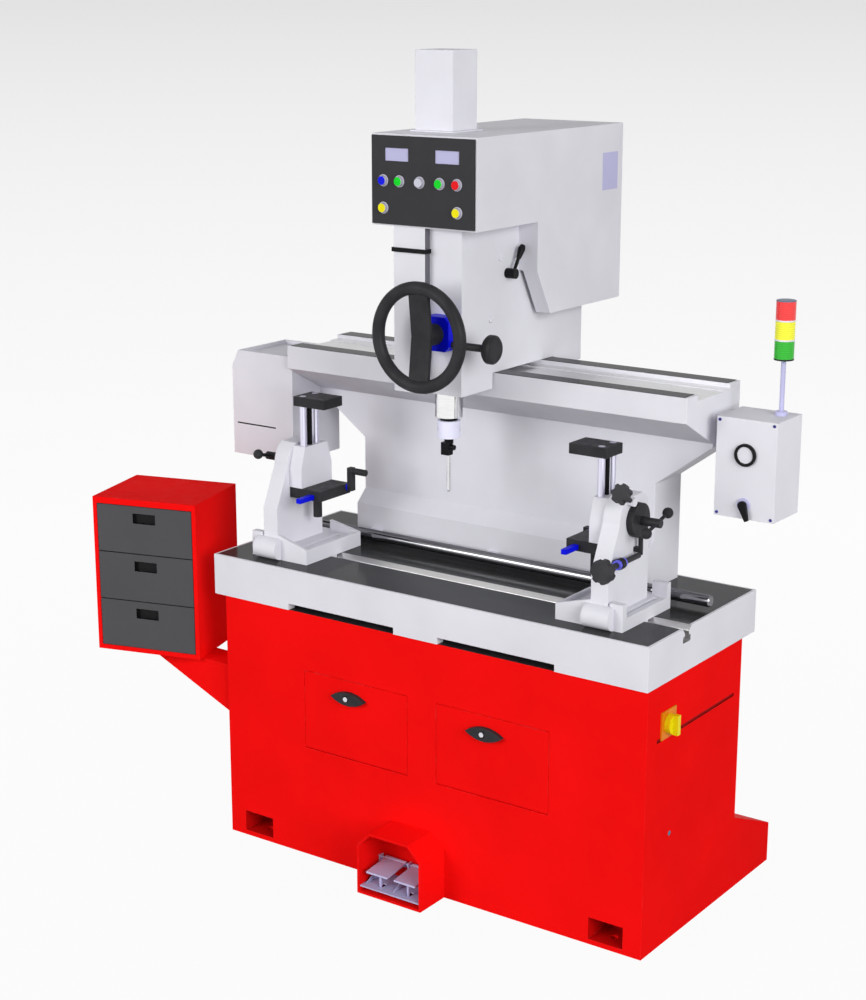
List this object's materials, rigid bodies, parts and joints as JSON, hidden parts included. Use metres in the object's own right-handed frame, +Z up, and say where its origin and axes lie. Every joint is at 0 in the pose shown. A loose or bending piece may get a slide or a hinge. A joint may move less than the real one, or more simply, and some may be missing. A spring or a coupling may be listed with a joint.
{
  "type": "valve seat and guide machine",
  "caption": "Floor-standing valve seat and guide cutting machine: floating spindle head on a bridge over a slotted table with tilting work fixtures, drawer cabinet and pedals.",
  "frame": {"origin": "on the floor, below the middle of the table's length and 250 mm behind its front edge", "axes": "+X to the operator's right along the table, +Y to the rear, +Z up"},
  "size_m": [1.928, 0.886, 2.148],
  "materials": {
    "red_paint": "smooth gloss paint",
    "grey_paint": "smooth satin paint",
    "panel_paint": "smooth satin paint",
    "drawer_paint": "smooth satin paint",
    "blue_paint": "smooth gloss paint",
    "ground_steel": "ground",
    "dark_steel": "oxide black",
    "bright_steel": "polished",
    "black_plastic": "moulded, fine grain",
    "pedal_steel": "satin",
    "motor_iron": "painted casting",
    "red_plastic": "moulded",
    "green_plastic": "moulded",
    "yellow_plastic": "moulded",
    "blue_plastic": "moulded",
    "grey_plastic": "moulded"
  },
  "bodies": {
    "frame": {"base_cabinet": "red_paint", "table": "grey_paint", "locating_bar": "bright_steel", "column": "grey_paint", "beam": "grey_paint", "guide_ways": "ground_steel", "service_box": "grey_paint", "control_box": "grey_paint", "signal_tower": "green_plastic", "cabinet_bracket": "red_paint", "pedal_hood": "red_paint"},
    "head": {"head_casting": "grey_paint", "head_cover": "grey_paint", "control_panel": "panel_paint", "mast_cover": "grey_paint", "spindle_motor": "motor_iron", "feed_gearbox": "blue_paint"},
    "quill_slide": {"quill": "bright_steel"},
    "tool_spindle": {"spindle": "ground_steel", "cutter_holder": "dark_steel"},
    "sleeve": {"drive_sleeve": "ground_steel"},
    "wheel": {"handwheel": "dark_steel"},
    "fine_knob": {"fine_feed_knob": "dark_steel"},
    "lever": {"lock_lever": "dark_steel"},
    "stop": {"depth_stop": "dark_steel"},
    "cabinet": {"tool_cabinet": "red_paint"},
    "switch": {"main_switch_knob": "yellow_plastic"},
    "selector": {"selector_lever": "black_plastic"},
    "tilt_lock": {"tilt_lock_knob": "black_plastic"},
    "tilt_drive": {"tilt_drive_knob": "black_plastic"},
    "blue_key": {"button_blue": "blue_plastic"},
    "green_left_key": {"button_green_left": "green_plastic"},
    "grey_key": {"button_grey": "grey_plastic"},
    "green_right_key": {"button_green_right": "green_plastic"},
    "red_key": {"button_red": "red_plastic"},
    "yellow_left_key": {"button_yellow_left": "yellow_plastic"},
    "yellow_right_key": {"button_yellow_right": "yellow_plastic"},
    "left_fixture": {"fixture_base_left": "grey_paint"},
    "left_tilter": {"tilt_block_left": "grey_paint", "jaw_left": "dark_steel"},
    "left_clamp_bar": {"clamp_left": "dark_steel"},
    "left_crank_arm": {"crank_left": "dark_steel"},
    "left_jaw_bar": {"jaw_lever_left": "blue_paint"},
    "left_dial": {"tilt_dial_left": "black_plastic"},
    "right_fixture": {"fixture_base_right": "grey_paint"},
    "right_tilter": {"tilt_block_right": "grey_paint", "jaw_right": "dark_steel"},
    "right_clamp_bar": {"clamp_right": "dark_steel"},
    "right_crank_arm": {"crank_right": "dark_steel"},
    "right_jaw_bar": {"jaw_lever_right": "blue_paint"},
    "right_dial": {"tilt_dial_right": "black_plastic"},
    "bottom_drawer": {"drawer_bottom": "drawer_paint"},
    "middle_drawer": {"drawer_middle": "drawer_paint"},
    "top_drawer": {"drawer_top": "drawer_paint"},
    "left_door": {"door_left": "red_paint"},
    "left_latch": {"latch_left": "black_plastic"},
    "left_pedal": {"pedal_left": "pedal_steel"},
    "right_door": {"door_right": "red_paint"},
    "right_latch": {"latch_right": "black_plastic"},
    "right_pedal": {"pedal_right": "pedal_steel"}
  },
  "joints": [
    {"name": "head_traverse", "type": "slide", "parent": "frame", "child": "head", "axis": [1, 0, 0], "range_m": [-0.3, 0.35]},
    {"name": "quill_feed", "type": "slide", "parent": "head", "child": "quill_slide", "axis": [0, 0, -1], "range_m": [0, 0.15]},
    {"name": "spindle_spin", "type": "hinge", "parent": "quill_slide", "child": "tool_spindle", "pos_m": [-0.031, -0.056, 1.2], "axis": [0, 0, 1], "continuous": true},
    {"name": "sleeve_spin", "type": "hinge", "parent": "head", "child": "sleeve", "pos_m": [-0.031, -0.056, 1.8], "axis": [0, 0, 1], "continuous": true},
    {"name": "handwheel_turn", "type": "hinge", "parent": "head", "child": "wheel", "pos_m": [0.014, -0.25, 1.47], "axis": [0, -1, 0], "range_deg": [0, 430]},
    {"name": "fine_feed_turn", "type": "hinge", "parent": "head", "child": "fine_knob", "pos_m": [0.1, -0.162, 1.444], "axis": [1, 0, 0], "continuous": true},
    {"name": "lock_lever_turn", "type": "hinge", "parent": "head", "child": "lever", "pos_m": [0.077, 0.062, 1.597], "axis": [1, 0, 0], "range_deg": [0, 60]},
    {"name": "depth_stop_slide", "type": "slide", "parent": "head", "child": "stop", "axis": [0, 0, 1], "range_m": [-0.12, 0.04]},
    {"name": "blue_press", "type": "slide", "parent": "head", "child": "blue_key", "axis": [0, 1, 0], "range_m": [0, 0.004], "stiffness_N_per_m": 300},
    {"name": "green_left_press", "type": "slide", "parent": "head", "child": "green_left_key", "axis": [0, 1, 0], "range_m": [0, 0.004], "stiffness_N_per_m": 300},
    {"name": "grey_press", "type": "slide", "parent": "head", "child": "grey_key", "axis": [0, 1, 0], "range_m": [0, 0.004], "stiffness_N_per_m": 300},
    {"name": "green_right_press", "type": "slide", "parent": "head", "child": "green_right_key", "axis": [0, 1, 0], "range_m": [0, 0.004], "stiffness_N_per_m": 300},
    {"name": "red_press", "type": "slide", "parent": "head", "child": "red_key", "axis": [0, 1, 0], "range_m": [0, 0.004], "stiffness_N_per_m": 300},
    {"name": "yellow_left_press", "type": "slide", "parent": "head", "child": "yellow_left_key", "axis": [0, 1, 0], "range_m": [0, 0.004], "stiffness_N_per_m": 300},
    {"name": "yellow_right_press", "type": "slide", "parent": "head", "child": "yellow_right_key", "axis": [0, 1, 0], "range_m": [0, 0.004], "stiffness_N_per_m": 300},
    {"name": "left_fixture_slide", "type": "slide", "parent": "frame", "child": "left_fixture", "axis": [1, 0, 0], "range_m": [-0.06, 0.28]},
    {"name": "left_tilt", "type": "hinge", "parent": "left_fixture", "child": "left_tilter", "pos_m": [-0.497, -0.072, 1.054], "axis": [1, 0, 0], "range_deg": [-45, 45]},
    {"name": "left_clamp_slide", "type": "slide", "parent": "left_tilter", "child": "left_clamp_bar", "axis": [0, 0, 1], "range_m": [-0.08, 0.03]},
    {"name": "left_crank_turn", "type": "hinge", "parent": "left_tilter", "child": "left_crank_arm", "pos_m": [-0.397, -0.018, 0.988], "axis": [1, 0, 0], "continuous": true},
    {"name": "left_jaw_lever_turn", "type": "hinge", "parent": "left_tilter", "child": "left_jaw_bar", "pos_m": [-0.419, -0.15, 0.98], "axis": [0, 1, 0], "range_deg": [-90, 90]},
    {"name": "left_dial_turn", "type": "hinge", "parent": "left_fixture", "child": "left_dial", "pos_m": [-0.577, -0.072, 1.054], "axis": [1, 0, 0], "range_deg": [-60, 60]},
    {"name": "right_fixture_slide", "type": "slide", "parent": "frame", "child": "right_fixture", "axis": [1, 0, 0], "range_m": [-0.28, 0.08]},
    {"name": "right_tilt", "type": "hinge", "parent": "right_fixture", "child": "right_tilter", "pos_m": [0.482, -0.072, 1.054], "axis": [1, 0, 0], "range_deg": [-45, 45]},
    {"name": "right_clamp_slide", "type": "slide", "parent": "right_tilter", "child": "right_clamp_bar", "axis": [0, 0, 1], "range_m": [-0.08, 0.03]},
    {"name": "right_crank_turn", "type": "hinge", "parent": "right_tilter", "child": "right_crank_arm", "pos_m": [0.382, -0.018, 0.988], "axis": [1, 0, 0], "continuous": true},
    {"name": "right_jaw_lever_turn", "type": "hinge", "parent": "right_tilter", "child": "right_jaw_bar", "pos_m": [0.404, -0.15, 0.98], "axis": [0, 1, 0], "range_deg": [-90, 90]},
    {"name": "right_dial_turn", "type": "hinge", "parent": "right_fixture", "child": "right_dial", "pos_m": [0.562, -0.072, 1.054], "axis": [1, 0, 0], "range_deg": [-60, 60]},
    {"name": "tilt_lock_turn", "type": "hinge", "parent": "right_fixture", "child": "tilt_lock", "pos_m": [0.537, -0.104, 1.106], "axis": [0, -0.866, 0.5], "continuous": true},
    {"name": "tilt_drive_turn", "type": "hinge", "parent": "right_fixture", "child": "tilt_drive", "pos_m": [0.545, -0.2, 0.968], "axis": [0, 1, 0], "continuous": true},
    {"name": "cabinet_swivel", "type": "hinge", "parent": "frame", "child": "cabinet", "pos_m": [-0.929, -0.166, 0.485], "axis": [0, 0, 1], "range_deg": [-75, 10]},
    {"name": "bottom_drawer_slide", "type": "slide", "parent": "cabinet", "child": "bottom_drawer", "axis": [0.2756, -0.9613, 0], "range_m": [0, 0.2]},
    {"name": "middle_drawer_slide", "type": "slide", "parent": "cabinet", "child": "middle_drawer", "axis": [0.2756, -0.9613, 0], "range_m": [0, 0.2]},
    {"name": "top_drawer_slide", "type": "slide", "parent": "cabinet", "child": "top_drawer", "axis": [0.2756, -0.9613, 0], "range_m": [0, 0.2]},
    {"name": "left_door_fold", "type": "hinge", "parent": "frame", "child": "left_door", "pos_m": [-0.198, -0.242, 0.317], "axis": [1, 0, 0], "range_deg": [0, 90]},
    {"name": "left_latch_turn", "type": "hinge", "parent": "left_door", "child": "left_latch", "pos_m": [-0.215, -0.25, 0.486], "axis": [0, 1, 0], "range_deg": [0, 90]},
    {"name": "left_pedal_press", "type": "hinge", "parent": "frame", "child": "left_pedal", "pos_m": [-0.0565, -0.258, 0.068], "axis": [1, 0, 0], "range_deg": [0, 8], "stiffness_Nm_per_rad": 6, "springref_deg": -2.86},
    {"name": "right_door_fold", "type": "hinge", "parent": "frame", "child": "right_door", "pos_m": [0.233, -0.242, 0.317], "axis": [1, 0, 0], "range_deg": [0, 90]},
    {"name": "right_latch_turn", "type": "hinge", "parent": "right_door", "child": "right_latch", "pos_m": [0.216, -0.25, 0.486], "axis": [0, 1, 0], "range_deg": [0, 90]},
    {"name": "right_pedal_press", "type": "hinge", "parent": "frame", "child": "right_pedal", "pos_m": [0.0325, -0.258, 0.068], "axis": [1, 0, 0], "range_deg": [0, 8], "stiffness_Nm_per_rad": 6, "springref_deg": -2.86},
    {"name": "main_switch_turn", "type": "hinge", "parent": "frame", "child": "switch", "pos_m": [0.69, -0.148, 0.588], "axis": [1, 0, 0], "range_deg": [0, 90]},
    {"name": "selector_turn", "type": "hinge", "parent": "frame", "child": "selector", "pos_m": [0.731, 0.09, 1.084], "axis": [0, 1, 0], "range_deg": [-60, 60]}
  ],
  "couplings": [
    {"joint": "handwheel_turn", "follows": "quill_feed", "rad_per_m": 50},
    {"joint": "sleeve_spin", "follows": "spindle_spin", "ratio": 1}
  ]
}
